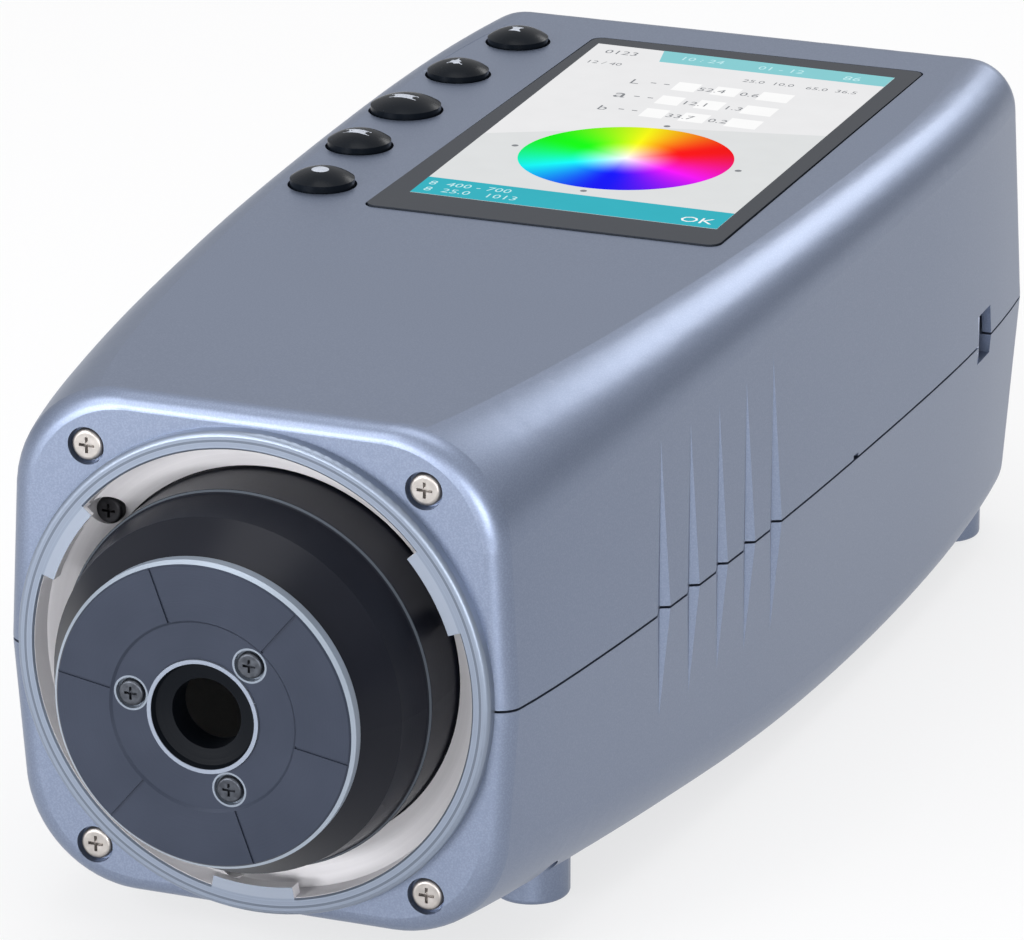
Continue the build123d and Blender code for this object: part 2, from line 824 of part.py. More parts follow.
# Sensor drum: the black stepped dome that carries the nose disc and shields the sphere
with BuildPart() as sensor_drum:
    add(head_ring([
        (aperture_ring_radius - aperture_tube_wall, disc_back), (drum_nose_radius, disc_back),
        (drum_taper_radius, -drum_taper_place), (drum_radius - drum_step, -drum_step_place),
        (drum_radius, -drum_step_place + drum_step), (drum_radius, recess_depth_b),
        (drum_flange_radius, recess_depth_b), (drum_flange_radius, chassis_front),
        (drum_radius - drum_wall, chassis_front), (drum_radius - drum_wall, -drum_step_place),
        (drum_taper_radius - drum_wall, -drum_taper_place + drum_nose_wall / 2),
        (drum_nose_radius - drum_wall - 1, disc_back + drum_nose_wall),
        (aperture_ring_radius - aperture_tube_wall, disc_back + drum_nose_wall),
    ]))
    with BuildSketch(head_plane(disc_back + drum_nose_wall)):
        with Locations(*head_spots(disc_screw_circle, disc_screw_angle)):
            Circle(drum_boss_radius)
    extrude(amount=-drum_boss_height)
    with BuildSketch(head_plane(disc_back - 1)):
        with Locations(*head_spots(disc_screw_circle, disc_screw_angle)):
            Circle(disc_screw[2] + fit_clearance)
    extrude(amount=-(drum_nose_wall + 3), mode=Mode.SUBTRACT)
finish(sensor_drum.part, "sensor_drum")

# Nose disc: the plate that is pressed on the sample, slightly dished inside, with fine engraved lines
with BuildPart() as nose_disc:
    add(head_ring([
        (aperture_ring_radius + fit_clearance, disc_step_depth - nose_reach),
        (disc_step_radius - disc_step_slope, disc_step_depth - nose_reach), (disc_step_radius, -nose_reach),
        (disc_radius - disc_chamfer, -nose_reach), (disc_radius, disc_chamfer - nose_reach),
        (disc_radius, disc_back), (aperture_ring_radius + fit_clearance, disc_back),
    ]))
    with BuildSketch(head_plane(-nose_reach)):
        line_length = disc_radius + 1 - disc_step_radius
        line_middle = disc_step_radius + line_length / 2
        with PolarLocations(line_middle, disc_line_count, start_angle=disc_line_angle):
            Rectangle(line_length, disc_groove_width)
    extrude(amount=-disc_groove_depth, mode=Mode.SUBTRACT)
    with BuildSketch(head_plane(-nose_reach)):
        with Locations(*head_spots(disc_screw_circle, disc_screw_angle)):
            Circle(disc_counterbore_radius)
    extrude(amount=-disc_counterbore_depth, mode=Mode.SUBTRACT)
    with BuildSketch(head_plane(-nose_reach)):
        with Locations(*head_spots(disc_screw_circle, disc_screw_angle)):
            Circle(disc_screw[2] + screw_hole_clearance)
    extrude(amount=-disc_thickness, mode=Mode.SUBTRACT)
finish(nose_disc.part, "nose_disc")
disc_screw_seat = disc_counterbore_depth - nose_reach
screw_group("disc_screws", disc_screw,
            head_screw_planes(head_spots(disc_screw_circle, disc_screw_angle), disc_screw_seat))

# Aperture ring: the dark tube in the middle of the disc that the sample is seen through
tube_outer = aperture_radius + aperture_tube_wall
with BuildPart() as aperture_ring:
    add(head_ring([
        (aperture_ring_radius - aperture_lip, -nose_reach), (aperture_ring_radius, -nose_reach),
        (aperture_ring_radius, disc_back), (tube_outer, disc_back), (tube_outer, -aperture_tube_end),
        (aperture_radius, -aperture_tube_end), (aperture_radius, aperture_tube_start - nose_reach),
        (aperture_ring_radius - aperture_lip - aperture_lip_slope, aperture_lip_depth - nose_reach),
    ]))
finish(aperture_ring.part, "aperture_ring")

# Integrating sphere: two white-lined halves that meet inside the chassis plate's bore
split_plane = head_plane(sphere_middle)
with BuildPart() as sphere_ball:
    with Locations(sphere_centre):
        Sphere(sphere_outer_radius)
with BuildPart() as sphere_hollow:
    with Locations(sphere_centre):
        Sphere(sphere_inner_radius)
with BuildPart() as sphere_front:
    add(sphere_ball.part)
    add(head_ring([
        (0, chassis_front - sphere_flange_thickness),
        (sphere_flange_radius, chassis_front - sphere_flange_thickness),
        (sphere_flange_radius, chassis_front), (0, chassis_front),
    ]))
    add(sphere_hollow.part, mode=Mode.SUBTRACT)
    split(bisect_by=split_plane, keep=Keep.TOP)
    with BuildSketch(head_plane(-nose_reach)):
        Circle(sphere_port_radius)
    extrude(amount=-nose_reach, mode=Mode.SUBTRACT)
finish(sphere_front.part, "sphere_front")

detector_plane = port_plane(detector_tilt)
lamp_plane = port_plane(lamp_tilt)
with BuildPart() as sphere_rear:
    add(sphere_ball.part)
    add(head_ring([
        (0, chassis_back), (sphere_rear_flange_radius, chassis_back),
        (sphere_rear_flange_radius, chassis_back + sphere_flange_thickness),
        (0, chassis_back + sphere_flange_thickness),
    ]))
    with BuildSketch(detector_plane):
        Circle(detector_boss_radius)
    extrude(amount=detector_boss_reach)
    with BuildSketch(lamp_plane):
        Circle(lamp_boss_radius)
    extrude(amount=lamp_boss_reach)
    add(sphere_hollow.part, mode=Mode.SUBTRACT)
    split(bisect_by=split_plane, keep=Keep.BOTTOM)
    with BuildSketch(detector_plane):
        Circle(detector_hole_radius)
    extrude(amount=detector_boss_reach + 1, mode=Mode.SUBTRACT)
    with BuildSketch(lamp_plane):
        Circle(lamp_hole_radius)
    extrude(amount=lamp_boss_reach + 1, mode=Mode.SUBTRACT)
    with BuildSketch(head_plane(chassis_back - 1)):
        with Locations(*head_spots(sphere_screw_circle, 90)):
            Circle(sphere_screw[2] + screw_hole_clearance)
    extrude(amount=-(sphere_flange_thickness + 2), mode=Mode.SUBTRACT)
finish(sphere_rear.part, "sphere_rear")
sphere_screw_seat = chassis_back + sphere_flange_thickness
screw_group("sphere_screws", sphere_screw,
            head_screw_planes(head_spots(sphere_screw_circle, 90), sphere_screw_seat, False))

# Detector optics: a tube with a lens behind the sphere's viewing port, then the sensor board
tube_start = detector_boss_reach
tube_end = detector_boss_reach + detector_tube_length
with BuildPart() as detector_tube:
    with BuildSketch(detector_plane.offset(tube_start)):
        Circle(detector_tube_radius)
        Circle(detector_tube_bore, mode=Mode.SUBTRACT)
    extrude(amount=detector_tube_length)
    with BuildSketch(detector_plane.offset(tube_end - detector_flange_thickness)):
        Circle(detector_flange_radius)
        Circle(detector_tube_bore, mode=Mode.SUBTRACT)
    extrude(amount=detector_flange_thickness)
finish(detector_tube.part, "detector_tube")

with BuildPart() as detector_lens:
    with BuildSketch(detector_plane.offset(tube_start + lens_place)):
        Circle(detector_tube_bore - fit_clearance)
    extrude(amount=lens_thickness)
finish(detector_lens.part, "detector_lens")

with BuildPart() as sensor_board:
    with BuildSketch(detector_plane.offset(tube_end)):
        Rectangle(sensor_board_size[0], sensor_board_size[1])
    extrude(amount=sensor_board_size[2])
finish(sensor_board.part, "sensor_board")

with BuildPart() as light_sensor:
    with BuildSketch(detector_plane.offset(tube_end)):
        Rectangle(sensor_chip_size[0], sensor_chip_size[1])
    extrude(amount=-sensor_chip_size[2])
finish(light_sensor.part, "light_sensor")

# Lamp: a small board with its light source over the sphere's upper port
with BuildPart() as lamp_board:
    with BuildSketch(lamp_plane.offset(lamp_boss_reach)):
        Rectangle(lamp_board_size[0], lamp_board_size[1])
    extrude(amount=lamp_board_size[2])
finish(lamp_board.part, "lamp_board")

with BuildPart() as lamp_led:
    with BuildSketch(lamp_plane.offset(lamp_boss_reach)):
        Rectangle(lamp_chip_size[0], lamp_chip_size[1])
    extrude(amount=-lamp_chip_size[2])
finish(lamp_led.part, "lamp_led")

# Display window: the flush dark-bordered pane, on a ledge round its opening
with BuildPart() as display_window:
    add(window_prism(0, deck_rise - window_thickness, deck_rise))
finish(display_window.part, "display_window")

# Display module: the panel in its metal frame, against the deck's underside, on four legs
module_x = (window_left + window_ledge - module_margin, window_right - window_ledge + module_margin)
module_b = (window_front + window_ledge - module_margin, window_rear - window_ledge + module_margin)
module_under = deck_inside - module_thickness
with BuildPart() as display_module:
    add(block(module_x, module_b, (module_under, deck_inside)))
    leg_ends_x = (module_x[0] + module_leg_inset, module_x[1] - module_leg_inset)
    leg_ends_b = (module_b[0] + module_leg_inset, module_b[1] - module_leg_inset)
    add(post([(x, b) for x in leg_ends_x for b in leg_ends_b], module_leg_radius, board_top, module_under))
finish(display_module.part, "display_module")

# Display board: carries the display and the five key switches, hung from the deck on four posts
board_under = board_top - display_board_thickness
with BuildPart() as display_board:
    add(block((display_board_left, display_board_right), (display_board_front, display_board_rear),
              (board_under, board_top)))
    add(block((display_tab_left, display_tab_right), (display_board_rear, display_tab_rear),
              (board_under, board_top)))
    add(post(display_post_places, board_screw[2] + screw_hole_clearance, board_under - 1, board_top + 1),
        mode=Mode.SUBTRACT)
finish(display_board.part, "display_board")


def down_planes(places, h):
    """Planes for screws driven upwards from below, heads down."""
    return [Plane(origin=(x, y_at(b), z_at(h)), x_dir=(1, 0, 0), z_dir=(0, 0, -1)) for x, b in places]


def up_planes(places, h):
    """Planes for screws driven down, heads up."""
    return [Plane(origin=(x, y_at(b), z_at(h)), x_dir=(1, 0, 0), z_dir=(0, 0, 1)) for x, b in places]


screw_group("display_board_screws", board_screw, down_planes(display_post_places, board_under))

# Keys: glossy domes that stand through the deck, each with a flange and a stem
flange_top = deck_inside - key_rest_gap
flange_under = flange_top - key_flange_thickness
stem_under = flange_under - key_stem_length
for number, (place, radius) in enumerate(zip(key_places, key_radii), start=1):
    with BuildPart() as key:
        with BuildSketch(Plane.XZ.offset(-y_at(place[1]))):
            with BuildLine():
                foot_edge_of_dome = (place[0] + radius, z_at(deck_rise + key_shoulder_rise))
                crown = (place[0], z_at(deck_rise + key_dome_rise))
                Polyline(
                    crown, (place[0], z_at(stem_under)), (place[0] + key_stem_radius, z_at(stem_under)),
                    (place[0] + key_stem_radius, z_at(flange_under)),
                    (place[0] + radius + key_flange_outset, z_at(flange_under)),
                    (place[0] + radius + key_flange_outset, z_at(flange_top)),
                    (place[0] + radius, z_at(flange_top)), foot_edge_of_dome,
                )
                dome_rise = key_dome_rise - key_shoulder_rise
                dome_radius = (radius ** 2 + dome_rise ** 2) / (2 * dome_rise)
                RadiusArc(foot_edge_of_dome, crown, -dome_radius)
            make_face()
        revolve(axis=Axis((place[0], y_at(place[1]), 0), (0, 0, 1)))
    finish(key.part, f"key_{number}")

# Key switches: low tactile switches on the display board, one under each key's stem
plunger_top = stem_under - key_travel - moving_clearance
with BuildPart() as key_switches:
    with BuildSketch(Plane.XY.offset(z_at(board_top))):
        with Locations(*[(x, y_at(b)) for x, b in key_places]):
            Rectangle(key_switch_size, key_switch_size)
    extrude(amount=key_switch_height)
    add(post(key_places, key_plunger_radius, board_top + key_switch_height, plunger_top))
finish(key_switches.part, "key_switches")

# Battery pack: two cylindrical cells side by side in one wrap
with BuildPart() as battery_pack:
    with BuildSketch(section_plane(battery_front)):
        with Locations((cell_half_pack, -cell_centre_drop), (-cell_half_pack, -cell_centre_drop)):
            Circle(cell_radius)
        with Locations((0, -cell_centre_drop)):
            Rectangle(cell_spacing, 2 * cell_radius)
    extrude(amount=-cell_length)
finish(battery_pack.part, "battery_pack")

# Battery tray: the moulded roof and skirt over the pack, on four posts of the lower housing
with BuildPart() as battery_tray:
    add(block((-tray_half_width, tray_half_width), (tray_front, tray_rear),
              (-tray_skirt_bottom, tray_roof_top)))
    add(block((-tray_half_width + tray_wall, tray_half_width - tray_wall),
              (tray_front + tray_wall, tray_rear - tray_wall), (-tray_skirt_bottom - 1, tray_roof_under)),
        mode=Mode.SUBTRACT)
    with BuildSketch(Plane.XY.offset(z_at(tray_roof_under))):
        for x, b in both_sides(tray_ear_places):
            with Locations((x, y_at(b))):
                Circle(tray_ear_radius)
            with Locations((x - math.copysign(3, x), y_at(b))):
                Rectangle(6, 2 * tray_ear_radius)
    extrude(amount=tray_wall)
    add(post(both_sides(board_post_places), board_post_radius, tray_roof_top, main_board_under))
    add(post(both_sides(tray_ear_places), tray_screw[2] + screw_hole_clearance, tray_roof_under - 1,
             tray_roof_top + 1), mode=Mode.SUBTRACT)
    add(post(both_sides(board_post_places), board_screw[2] + fit_clearance,
             main_board_under - board_screw[3], main_board_under + 1), mode=Mode.SUBTRACT)
finish(battery_tray.part, "battery_tray")
screw_group("tray_screws", tray_screw, up_planes(both_sides(tray_ear_places), tray_roof_top))

# Battery cover: the lift-off piece of the belly, with two ribs that steady the pack
cover_grip_place = cover_rear - cover_grip_radius - cover_corner
rib_top = -(cell_centre_drop + cell_radius) - moving_clearance
with BuildPart() as cover_ribs:
    for side in (1, -1):
        add(block((side * cell_half_pack - cover_rib_width / 2, side * cell_half_pack + cover_rib_width / 2),
                  (cover_front + cover_rib_margin, cover_rear - cover_rib_margin), (belly_low, rib_top)))
    add(post_skin, mode=Mode.INTERSECT)
with BuildPart() as battery_cover:
    add(cover_prism(cover_gap, belly_low - 1, -belly_drop_front + 4))
    add(body_form.part, mode=Mode.INTERSECT)
    add(tongue_room, mode=Mode.SUBTRACT)
    add(cover_ribs.part)
    with BuildSketch(Plane.XY.offset(z_at(cover_grip_depth - belly_drop(cover_grip_place)))):
        with Locations((0, y_at(cover_grip_place))):
            SlotOverall(2 * cover_grip_radius, cover_grip_radius)
    extrude(amount=-belly_bulge, mode=Mode.SUBTRACT)
finish(battery_cover.part, "battery_cover")

# Main board on the tray's posts
with BuildPart() as main_board:
    add(block((-main_board_half_width, main_board_half_width), (main_board_front, main_board_rear),
              (main_board_under, main_board_top)))
    add(post(both_sides(board_post_places), board_screw[2] + screw_hole_clearance, main_board_under - 1,
             main_board_top + 1), mode=Mode.SUBTRACT)
finish(main_board.part, "main_board")
screw_group("main_board_screws", board_screw, up_planes(both_sides(board_post_places), main_board_top))

# Chips on the main board: the processor, the memory and the charger
with BuildPart() as board_chips:
    for chip_x, chip_b, chip_height in board_chip_layout:
        add(block(chip_x, chip_b, (main_board_top, main_board_top + chip_height)))
finish(board_chips.part, "board_chips")

# Display ribbon: the flat cable that stands between the main board and the display board
plug_half_width = ribbon_width / 2 + ribbon_plug_margin
with BuildPart() as display_ribbon:
    add(block((-ribbon_width / 2, ribbon_width / 2),
              (ribbon_place - ribbon_thickness / 2, ribbon_place + ribbon_thickness / 2),
              (main_board_top, board_under)))
    for low, high in ((main_board_top, main_board_top + ribbon_plug_height),
                      (board_under - ribbon_plug_height, board_under)):
        add(block((-plug_half_width, plug_half_width),
                  (ribbon_place - ribbon_plug_depth / 2, ribbon_place + ribbon_plug_depth / 2), (low, high)))
finish(display_ribbon.part, "display_ribbon")

# Rear socket board on its two posts, with the data socket, the power socket and the switch
panel_front = cavity_rear - panel_thickness
with BuildPart() as socket_board:
    add(block((-io_board_half_width, io_board_half_width), (io_board_front, panel_front - io_board_end_gap),
              (-io_board_drop, io_board_top)))
    add(post(both_sides(io_post_places), board_screw[2] + screw_hole_clearance,
             -io_board_drop - 1, io_board_top + 1), mode=Mode.SUBTRACT)
finish(socket_board.part, "socket_board")
screw_group("socket_board_screws", board_screw, up_planes(both_sides(io_post_places), io_board_top))

# Data socket: a pressed steel shell with its contact tongue
usb_x_ends = (usb_x - usb_width / 2, usb_x + usb_width / 2)
usb_h_ends = (io_board_top, io_board_top + usb_height)
usb_front = cavity_rear - usb_length
usb_tongue_h = usb_h_ends[0] + usb_tongue_low
with BuildPart() as data_socket:
    add(block(usb_x_ends, (usb_front, cavity_rear), usb_h_ends))
    add(block((usb_x_ends[0] + usb_shell, usb_x_ends[1] - usb_shell),
              (usb_front + usb_back_wall, cavity_rear + 1),
              (usb_h_ends[0] + usb_shell, usb_h_ends[1] - usb_shell)), mode=Mode.SUBTRACT)
    add(block((usb_x_ends[0] + usb_tongue_inset, usb_x_ends[1] - usb_tongue_inset),
              (usb_front, cavity_rear - usb_tongue_set_back),
              (usb_tongue_h, usb_tongue_h + usb_tongue_thickness)))
finish(data_socket.part, "data_socket")

# Power socket: a moulded block with a round barrel and a centre pin
jack_h = io_board_top + jack_axis_height
jack_plane = Plane(origin=(jack_x, y_at(cavity_rear), z_at(jack_h)), x_dir=(-1, 0, 0), z_dir=(0, 1, 0))
with BuildPart() as power_socket:
    add(block((jack_x - jack_width / 2, jack_x + jack_width / 2), (panel_front - jack_length, panel_front),
              (io_board_top, io_board_top + jack_height)))
    with BuildSketch(jack_plane):
        Circle(jack_barrel_radius)
    extrude(amount=-(panel_thickness + 1))
    with BuildSketch(jack_plane):
        Circle(jack_bore_radius)
        Circle(jack_pin_radius, mode=Mode.SUBTRACT)
    extrude(amount=-jack_bore_depth, mode=Mode.SUBTRACT)
finish(power_socket.part, "power_socket")

# Power switch: a moulded block with a slot for its slider
slider_middle = io_board_top + switch_height / 2
slider_h = (slider_middle - slider_height / 2, slider_middle + slider_height / 2)
slot_x = (switch_x - slider_travel / 2 - slider_width / 2 - moving_clearance,
          switch_x + slider_travel / 2 + slider_width / 2 + moving_clearance)
slot_h = (slider_h[0] - moving_clearance, slider_h[1] + moving_clearance)
with BuildPart() as power_switch:
    add(block((switch_x - switch_width / 2, switch_x + switch_width / 2),
              (panel_front - switch_length, panel_front), (io_board_top, io_board_top + switch_height)))
    add(block(slot_x, (panel_front - slider_root - moving_clearance, panel_front + 1), slot_h),
        mode=Mode.SUBTRACT)
finish(power_switch.part, "power_switch")

# Power slider: the ridged knob of the switch, off at rest, moved along +X to switch on
slider_rest_x = switch_x - slider_travel / 2
slider_x = (slider_rest_x - slider_width / 2, slider_rest_x + slider_width / 2)
with BuildPart() as power_slider:
    add(block(slider_x, (panel_front - slider_root, cavity_rear + slider_reach), slider_h))
    for groove in (1, 3, 5):
        groove_x = slider_x[0] + groove * slider_ridge
        add(block((groove_x, groove_x + slider_ridge),
                  (cavity_rear + slider_reach - slider_ridge, cavity_rear + slider_reach + 1),
                  (slider_h[0] - 1, slider_h[1] + 1)), mode=Mode.SUBTRACT)
finish(power_slider.part, "power_slider")

# Rear panel: the dark plate behind the rear opening, with a hole for each socket and the switch
with BuildPart() as rear_panel:
    add(block((-panel_half_width, panel_half_width), (panel_front, cavity_rear), (-panel_bottom, -panel_top)))
    add(block((usb_x_ends[0] - part_gap, usb_x_ends[1] + part_gap), (panel_front - 1, cavity_rear + 1),
              (usb_h_ends[0] - part_gap, usb_h_ends[1] + part_gap)), mode=Mode.SUBTRACT)
    with BuildSketch(jack_plane.offset(1)):
        Circle(jack_barrel_radius + part_gap)
    extrude(amount=-(panel_thickness + 2), mode=Mode.SUBTRACT)
    add(block(slot_x, (panel_front - 1, cavity_rear + 1), slot_h), mode=Mode.SUBTRACT)
finish(rear_panel.part, "rear_panel")

# Measure button: a long rounded button in the left side, with a flange behind the wall
with BuildPart() as measure_button:
    button_front_x = button_wall_x + button_proud
    extrude(button_outline(button_plane(button_front_x), 0), amount=button_back_x - button_front_x)
    chamfer(measure_button.faces().sort_by(Axis.X)[0].edges(), button_edge)
    extrude(button_outline(button_plane(button_flange_x), button_flange_outset),
            amount=-button_flange_thickness)
finish(measure_button.part, "measure_button")

# Micro switch behind the button, on a small board that stands on the main board
micro_face_x = plunger_tip_x - micro_plunger_length
micro_back_x = micro_face_x - micro_switch_size[0]
with BuildPart() as measure_switch:
    add(block((-micro_face_x, -micro_back_x),
              (button_place - micro_switch_size[1] / 2, button_place + micro_switch_size[1] / 2),
              (button_rise - micro_switch_size[2] / 2, button_rise + micro_switch_size[2] / 2)))
    with BuildSketch(button_plane(plunger_tip_x)):
        Circle(micro_plunger_radius)
    extrude(amount=-micro_plunger_length)
finish(measure_switch.part, "measure_switch")

with BuildPart() as switch_board:
    add(block((-micro_back_x, switch_board_size[0] - micro_back_x),
              (button_place - switch_board_size[1] / 2, button_place + switch_board_size[1] / 2),
              (main_board_top, button_rise + micro_switch_size[2] / 2 + switch_board_margin)))
finish(switch_board.part, "switch_board")

# Housing screws, driven up from wells in the belly
screw_group("housing_screws", housing_screw,
            down_planes(both_sides(housing_post_places), -housing_screw_seat_drop))
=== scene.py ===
import math

import bpy
from mathutils import Matrix, Vector


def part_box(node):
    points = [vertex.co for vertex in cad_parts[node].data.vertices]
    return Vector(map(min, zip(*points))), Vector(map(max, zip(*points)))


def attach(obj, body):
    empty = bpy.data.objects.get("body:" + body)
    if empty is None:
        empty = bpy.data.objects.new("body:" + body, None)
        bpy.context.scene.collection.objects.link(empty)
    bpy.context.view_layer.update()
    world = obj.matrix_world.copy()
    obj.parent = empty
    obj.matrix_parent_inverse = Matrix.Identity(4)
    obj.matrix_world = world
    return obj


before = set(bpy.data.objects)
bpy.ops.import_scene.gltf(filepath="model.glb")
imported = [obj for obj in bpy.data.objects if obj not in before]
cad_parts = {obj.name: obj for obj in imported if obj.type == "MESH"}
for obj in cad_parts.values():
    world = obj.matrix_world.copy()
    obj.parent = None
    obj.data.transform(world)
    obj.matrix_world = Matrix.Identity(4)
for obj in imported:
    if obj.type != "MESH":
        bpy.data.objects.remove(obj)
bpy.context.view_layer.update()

# Upper and lower housing, the feet and the battery cover. The real shells are moulded plastic under a
# silver-blue metallic lacquer, screwed together from below, and the feet are pressed into sockets.
paint_blue = (0.168, 0.203, 0.286, 1)
paint_flake = (0.212, 0.250, 0.340, 1)


class Tone:
    """A shader socket that can stand in sums: other tones and plain numbers mix freely."""

    def __init__(self, tree, link):
        self.tree = tree
        self.link = link

    def node(self, kind, settings, sockets, outlet=0):
        """Adds a node of this kind, with its settings and the values or tones of its sockets."""
        made = self.tree.nodes.new("ShaderNode" + kind)
        for name, value in settings.items():
            if name == "stops":
                ramp = made.color_ramp
                for place, _ in value[2:]:
                    ramp.elements.new(place)
                for element, (place, color) in zip(ramp.elements, value):
                    element.position = place
                    element.color = color
            else:
                setattr(made, name, value)
        for name, value in sockets.items():
            if isinstance(value, Tone):
                self.tree.links.new(value.link, made.inputs[name])
            else:
                made.inputs[name].default_value = value
        return Tone(self.tree, made.outputs[outlet])

    def maths(self, operation, *others):
        """This tone put through a Math node, with the others as its further inputs."""
        return self.node("Math", {"operation": operation}, dict(enumerate((self, *others))))

    def __add__(self, other):
        return self.maths("ADD", other)

    __radd__ = __add__

    def __sub__(self, other):
        return self.maths("SUBTRACT", other)

    def __rsub__(self, other):
        return self.node("Math", {"operation": "SUBTRACT"}, {0: other, 1: self})

    def __mul__(self, other):
        return self.maths("MULTIPLY", other)

    __rmul__ = __mul__

    def __gt__(self, other):
        return self.maths("GREATER_THAN", other)

    def __lt__(self, other):
        return self.maths("LESS_THAN", other)


class Finish:
    """A material in the making: its surface shader, and the place on the object that patterns follow."""

    def __init__(self, name, fixed):
        self.material = bpy.data.materials.new(name)
        self.material.use_nodes = True
        tree = self.material.node_tree
        self.shader = tree.nodes["Principled BSDF"]
        for socket, value in fixed.items():
            self.shader.inputs[socket].default_value = value
        self.place = Tone(tree, tree.nodes.new("ShaderNodeTexCoord").outputs["Object"])

    def noise(self, per_metre, detail=2.0, roughness=0.5):
        return self.place.node("TexNoise", {}, {
            "Vector": self.place, "Scale": per_metre, "Detail": detail, "Roughness": roughness,
        })

    def axes(self):
        """The place's x, y and z in millimetres."""
        split = self.place.tree.nodes.new("ShaderNodeSeparateXYZ")
        self.place.tree.links.new(self.place.link, split.inputs[0])
        return [Tone(self.place.tree, out) * 1000 for out in split.outputs]

    def mix(self, factor, first, second):
        return self.place.node("Mix", {"data_type": "RGBA"}, {0: factor, 6: first, 7: second}, 2)

    def bump(self, height, strength, distance):
        """A relief whose height is in parts of the distance, which is in metres."""
        return self.place.node("Bump", {}, {"Height": height, "Strength": strength, "Distance": distance})

    def feed(self, socket, tone):
        """Lets the tone drive this socket of the surface shader."""
        self.place.tree.links.new(tone.link, self.shader.inputs[socket])


def dress(finish, *names):
    """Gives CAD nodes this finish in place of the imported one."""
    for name in names:
        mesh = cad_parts[name].data
        mesh.materials.clear()
        mesh.materials.append(finish.material)


lacquer = Finish("silver_blue_lacquer", {
    "Metallic": 0.8, "Coat Weight": 0.08, "Coat Roughness": 0.2, "Specular IOR Level": 0.3,
})
flakes = lacquer.noise(5200, 1.0)
cloud = lacquer.noise(28, 3.0)
sparkle = flakes.node("ValToRGB", {"stops": [(0.42, (0, 0, 0, 1)), (0.68, (1, 1, 1, 1))]}, {"Fac": flakes})
lacquer.feed("Base Color", lacquer.mix(sparkle * 0.7 + cloud * 0.25, paint_blue, paint_flake))
lacquer.feed("Roughness", 0.34 + flakes * 0.06 + cloud * 0.05)
lacquer.feed("Normal", lacquer.bump(lacquer.noise(1100), 0.10, 0.00003))
dress(lacquer, "upper_housing", "lower_housing", "battery_cover", "feet")

# Screws, strap bar, sockets and the display's can. Pan-head steel screws with a cross recess hold the
# face and the boards, the three in the collar's floor are blackened, and the strap bar is a pin whose pale
# blue colour is a painted highlight.
steel = Finish("turned_steel", {"Metallic": 0.9})
grain = steel.noise(900, 3.0)
steel.feed("Base Color", steel.mix(grain, (0.26, 0.245, 0.235, 1), (0.48, 0.45, 0.43, 1)))
steel.feed("Roughness", 0.30 + grain * 0.2)
steel.feed("Normal", steel.bump(steel.noise(2600), 0.2, 0.00004))
dress(steel, "face_screws", "sphere_screws", "display_board_screws", "tray_screws",
      "main_board_screws", "socket_board_screws", "housing_screws", "data_socket", "display_module")

# The pin's pale blue colour is a painted highlight.
strap_pin_with_painted_highlight = Finish("strap_pin_painted_highlight", {"Metallic": 0.5})
rubbed = strap_pin_with_painted_highlight.noise(700, 3.0)
strap_pin_with_painted_highlight.feed("Base Color", strap_pin_with_painted_highlight.mix(rubbed, (0.40, 0.46, 0.60, 1), (0.52, 0.58, 0.72, 1)))
strap_pin_with_painted_highlight.feed("Roughness", 0.28 + rubbed * 0.2)
dress(strap_pin_with_painted_highlight, "strap_bar")

black_oxide = Finish("black_oxide_screws", {"Metallic": 0.7})
tarnish = black_oxide.noise(1500, 3.0)
black_oxide.feed("Base Color", black_oxide.mix(tarnish, (0.008, 0.008, 0.010, 1), (0.035, 0.035, 0.04, 1)))
black_oxide.feed("Roughness", 0.3 + tarnish * 0.25)
dress(black_oxide, "collar_screws")

dark_steel = Finish("darkened_steel_screws", {"Metallic": 0.9})
wear = dark_steel.noise(1800, 3.0)
dark_steel.feed("Base Color", dark_steel.mix(wear, (0.018, 0.020, 0.026, 1), (0.10, 0.11, 0.13, 1)))
dark_steel.feed("Roughness", 0.28 + wear * 0.2)
dress(dark_steel, "disc_screws")

# Bayonet collar. Turned aluminium ring pressed into the housing's face, painted like it on its land,
# paler on the three lugs that a sample holder locks behind, and bare on the sloping floor within.
head_height_mm = 33.7
face_y_mm = -75.7
collar_bore_mm = 26.3
collar_land_mm = -77.4
collar_groove_shade_mm = 27.35
collar_groove_shade_half_mm = 0.14


def turned(finish, per_mm, depth):
    """Adds fine tool rings about the optical axis; gives the radius and y in mm, and the rings."""
    x, y, z = finish.axes()
    z = z - head_height_mm
    radius = (x * x + z * z).maths("SQRT")
    rings = finish.place.node("TexNoise", {"noise_dimensions": "1D"}, {
        "W": radius * per_mm + y * per_mm, "Scale": 1.0, "Detail": 2.0,
    })
    finish.feed("Normal", finish.bump(rings, 0.3, depth))
    return radius, y, rings


collar = Finish("painted_and_bare_collar", {"Specular IOR Level": 0.4})
collar_radius, collar_y, collar_rings = turned(collar, 6.0, 0.00003)
collar_paint = collar.mix(collar_rings, (0.175, 0.208, 0.270, 1), (0.225, 0.262, 0.330, 1))
# A dark ring painted on the land stands for the shade in a groove.
painted_groove_shade = (collar_radius - collar_groove_shade_mm).maths("ABSOLUTE") < collar_groove_shade_half_mm
collar_paint = collar.mix(painted_groove_shade * 0.7, collar_paint, (0.080, 0.095, 0.125, 1))
bare_floor = collar.mix(collar_rings, (0.74, 0.73, 0.76, 1), (0.84, 0.83, 0.86, 1))
within = collar_radius < collar_bore_mm + 0.02
collar_paint = collar.mix(within, collar_paint, (0.25, 0.285, 0.35, 1))
on_the_floor = within * (collar_y > collar_land_mm + 0.05)
collar.feed("Base Color", collar.mix(on_the_floor, collar_paint, bare_floor))
collar.feed("Metallic", 0.65 - on_the_floor * 0.5)
collar.feed("Roughness", 0.34 + on_the_floor * 0.12 + collar_rings * 0.08)
dress(collar, "bayonet_collar")

